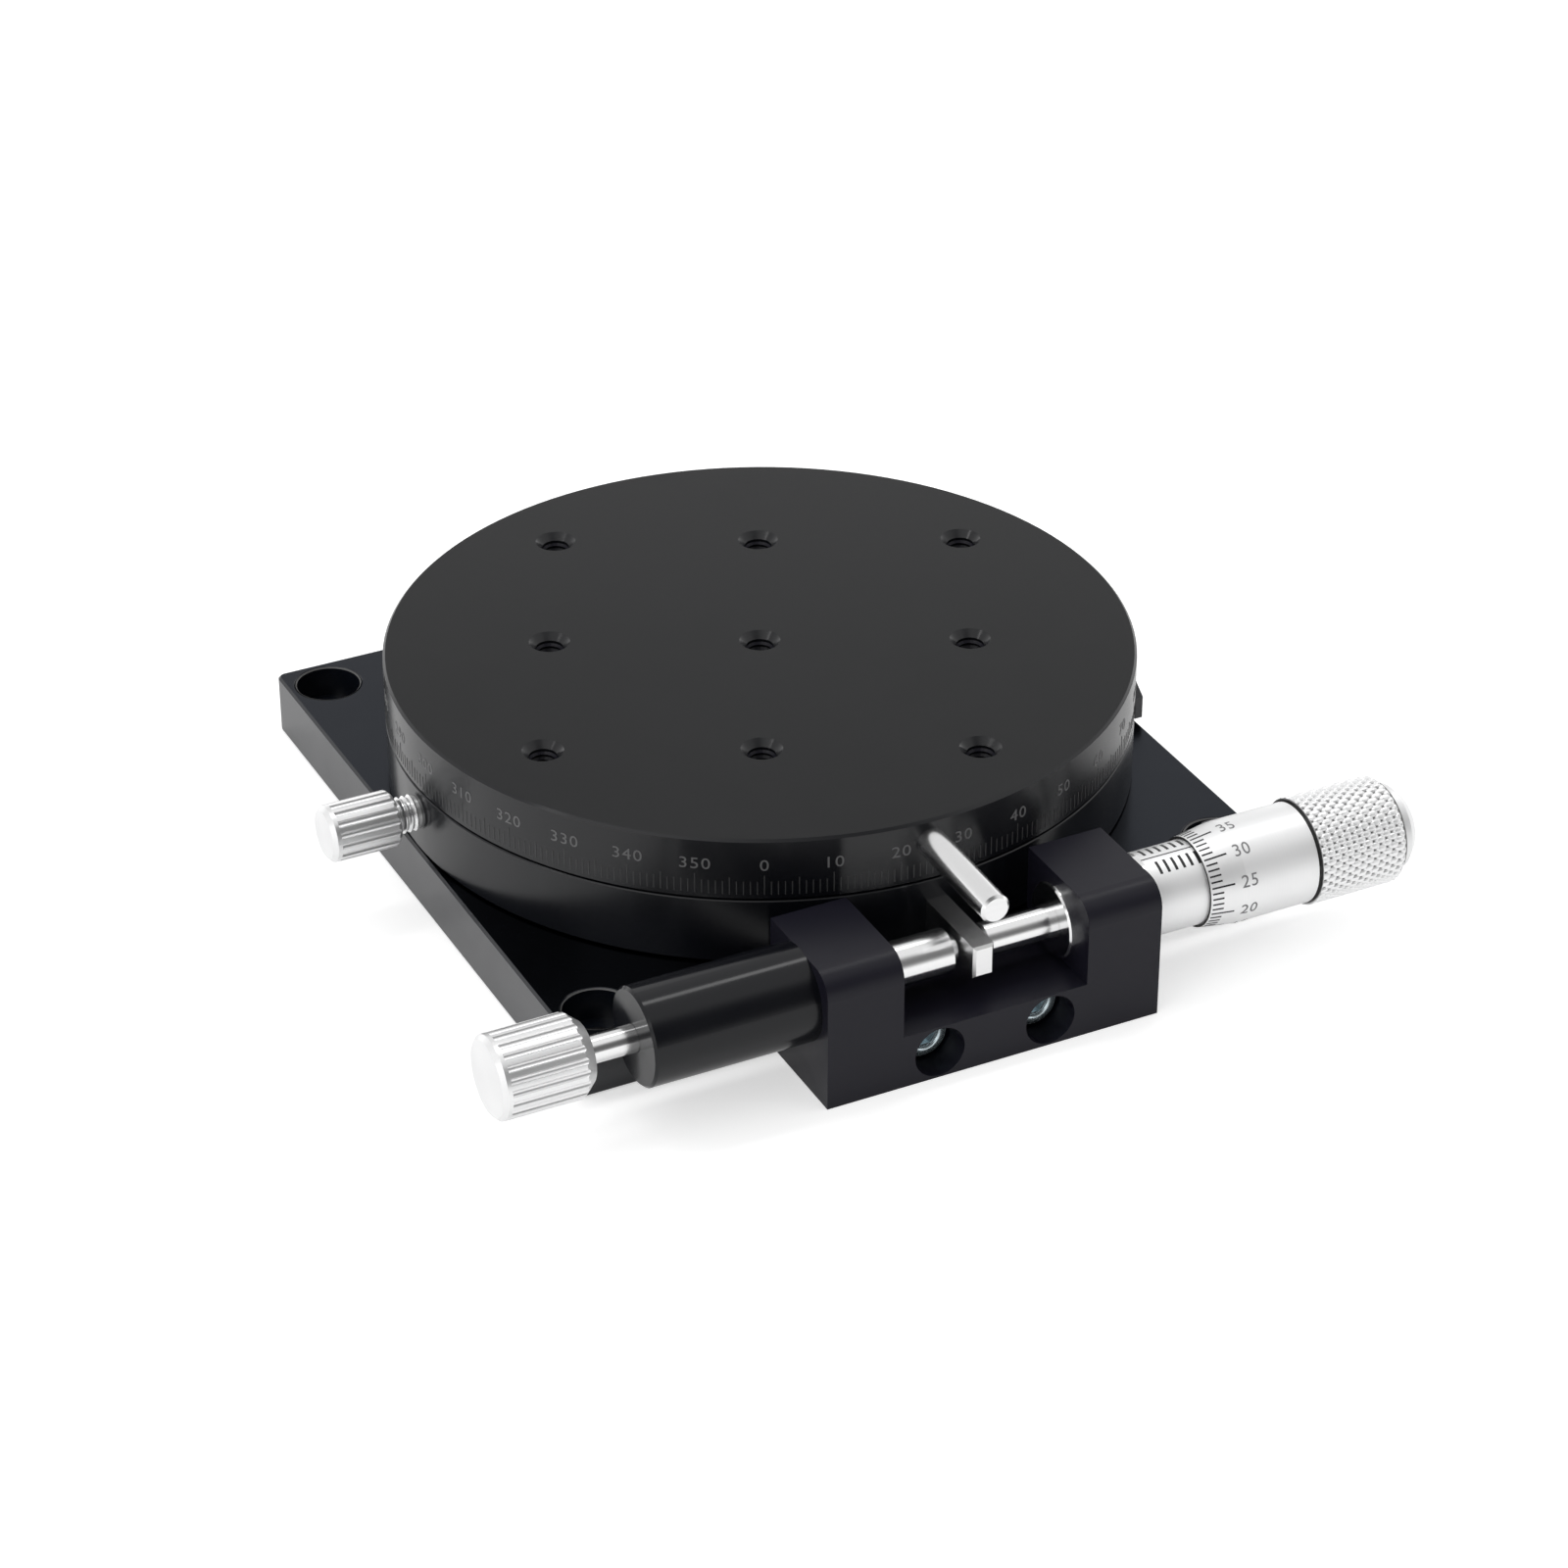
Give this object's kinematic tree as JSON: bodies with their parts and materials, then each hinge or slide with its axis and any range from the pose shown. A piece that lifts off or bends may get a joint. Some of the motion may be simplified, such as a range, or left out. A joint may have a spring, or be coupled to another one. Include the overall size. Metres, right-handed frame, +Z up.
{
  "type": "manual rotation stage",
  "caption": "Low square-based rotation stage with a round tapped table, degree scale, turning pin, clamp screw and a micrometer fine drive against a sprung plunger.",
  "frame": {"origin": "on the turning axis, in the plane of the base's underside", "axes": "+Z up along the turning axis, +X along the micrometer towards its thimble, -Y towards the micrometer bracket"},
  "size_m": [0.1152, 0.1054, 0.024],
  "materials": {
    "black_anodised": "satin",
    "satin_chrome": "satin",
    "polished_steel": "polished",
    "steel": "machined",
    "bearing_steel": "polished",
    "screw_steel": "zinc plated",
    "brass": "machined",
    "white_plastic": "matte"
  },
  "bodies": {
    "base": {"base_plate": "black_anodised", "center_hub": "steel", "hub_screws": "screw_steel", "bearing_inner_race": "bearing_steel", "race_clamp_plate": "steel", "race_clamp_screws": "screw_steel", "slip_ring": "white_plastic", "micrometer_bracket": "black_anodised", "bracket_screws": "screw_steel", "spring_barrel": "black_anodised", "return_spring": "bearing_steel", "micrometer_stem": "satin_chrome", "graduated_sleeve": "satin_chrome", "feed_nut": "brass", "stem_lock_nut": "polished_steel", "index_plate": "black_anodised", "index_screws": "screw_steel"},
    "fine_ring": {"clamp_ring": "black_anodised", "tangent_arm": "polished_steel", "arm_dowel": "bearing_steel"},
    "table": {"rotary_table": "black_anodised", "turning_pin": "polished_steel", "bearing_outer_race": "bearing_steel", "race_retainer": "steel", "retainer_screws": "screw_steel"},
    "cage": {"ball_cage": "brass", "bearing_balls": "bearing_steel"},
    "plunger_unit": {"plunger": "polished_steel", "plunger_rod": "polished_steel", "pull_knob": "satin_chrome"},
    "spindle": {"micrometer_spindle": "polished_steel"},
    "thimble_unit": {"thimble": "satin_chrome", "thimble_grip": "satin_chrome", "end_cap": "satin_chrome"},
    "pad": {"brake_pad": "brass"},
    "clamp_knob": {"clamp_screw": "satin_chrome"}
  },
  "joints": [
    {"name": "fine_rotation", "type": "hinge", "parent": "base", "child": "fine_ring", "pos_m": [0, 0, 0.012], "axis": [0, 0, 1], "range_deg": [-5, 5]},
    {"name": "table_spin", "type": "hinge", "parent": "fine_ring", "child": "table", "pos_m": [0, 0, 0.02], "axis": [0, 0, 1], "continuous": true},
    {"name": "cage_spin", "type": "hinge", "parent": "base", "child": "cage", "pos_m": [0, 0, 0.0133], "axis": [0, 0, 1], "continuous": true},
    {"name": "spindle_slide", "type": "slide", "parent": "base", "child": "spindle", "axis": [1, 0, 0], "range_m": [-0.00454, 0.00454]},
    {"name": "thimble_turn", "type": "hinge", "parent": "spindle", "child": "thimble_unit", "pos_m": [0.045, -0.052, 0.0115], "axis": [1, 0, 0], "range_deg": [-3270, 3270]},
    {"name": "plunger_slide", "type": "slide", "parent": "base", "child": "plunger_unit", "axis": [1, 0, 0], "range_m": [-0.00455, 0.00455], "deforming": ["return_spring"]},
    {"name": "clamp_travel", "type": "slide", "parent": "fine_ring", "child": "pad", "axis": [1, 0, 0], "range_m": [0, 0.0003]},
    {"name": "clamp_turn", "type": "hinge", "parent": "pad", "child": "clamp_knob", "pos_m": [-0.05, 0, 0.0125], "axis": [1, 0, 0], "range_deg": [0, 155]}
  ],
  "couplings": [
    {"joint": "thimble_turn", "follows": "spindle_slide", "rad_per_m": 12566},
    {"joint": "plunger_slide", "follows": "spindle_slide", "ratio": 1},
    {"joint": "fine_rotation", "follows": "spindle_slide", "rad_per_m": 19.182},
    {"joint": "cage_spin", "follows": "table_spin", "ratio": 0.5},
    {"joint": "clamp_turn", "follows": "clamp_travel", "rad_per_m": 8976}
  ]
}
